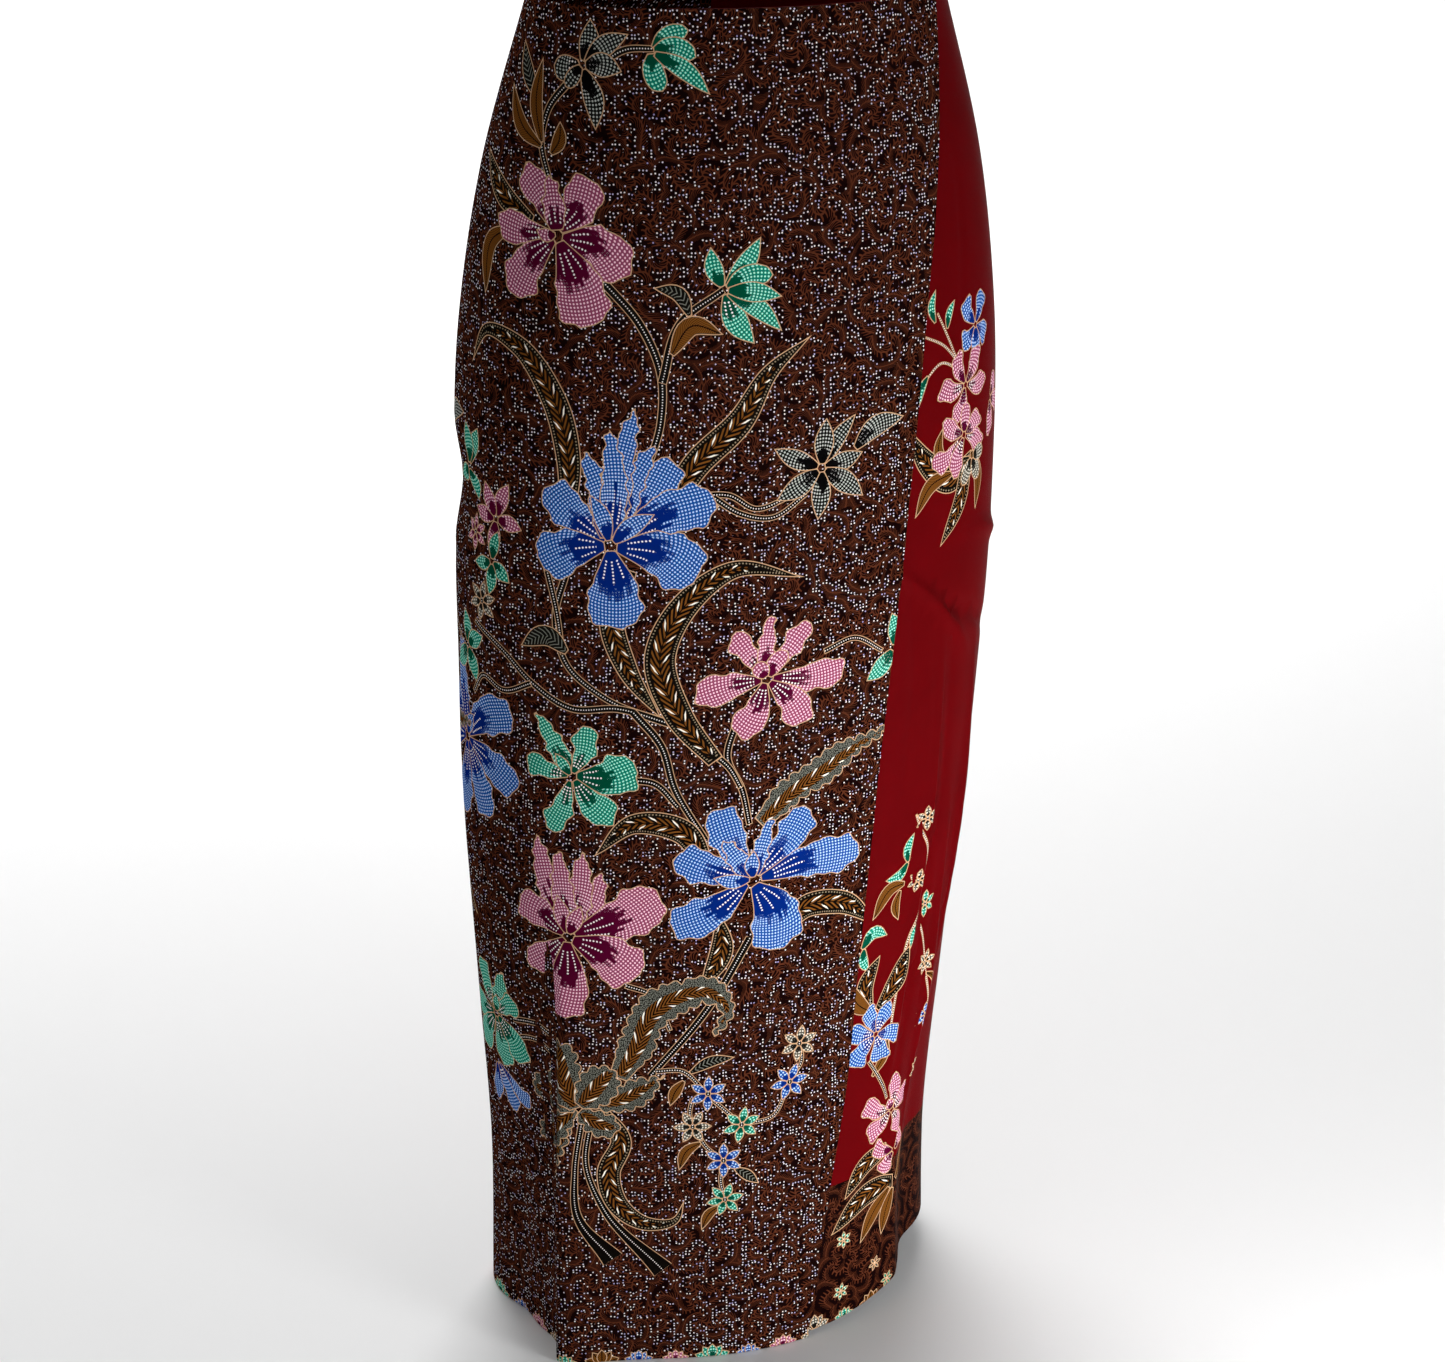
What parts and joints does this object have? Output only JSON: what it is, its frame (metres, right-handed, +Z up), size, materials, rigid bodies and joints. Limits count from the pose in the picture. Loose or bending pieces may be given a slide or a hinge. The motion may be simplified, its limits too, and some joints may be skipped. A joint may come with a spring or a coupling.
{
  "type": "batik sarong",
  "caption": "Long wrapped batik sarong in its worn tube form, a brown flowered over wrap crossing a red under wrap, open at waist and hem.",
  "frame": {"origin": "centre of the waist opening at the upper edge, where the wearer holds it up", "axes": "+Z up out of the waist opening, -Y the front, +X the wearer's left, where the red stretch shows"},
  "size_m": [0.3832, 0.2754, 0.9601],
  "materials": {
    "brown_batik": "printed cotton, brown ground with ferns, dots and flowers, soft sheen",
    "red_batik": "printed cotton, plain red ground with flower sprays, soft sheen"
  },
  "bodies": {
    "root": {"over_wrap": "brown_batik", "under_wrap": "red_batik"}
  },
  "joints": []
}
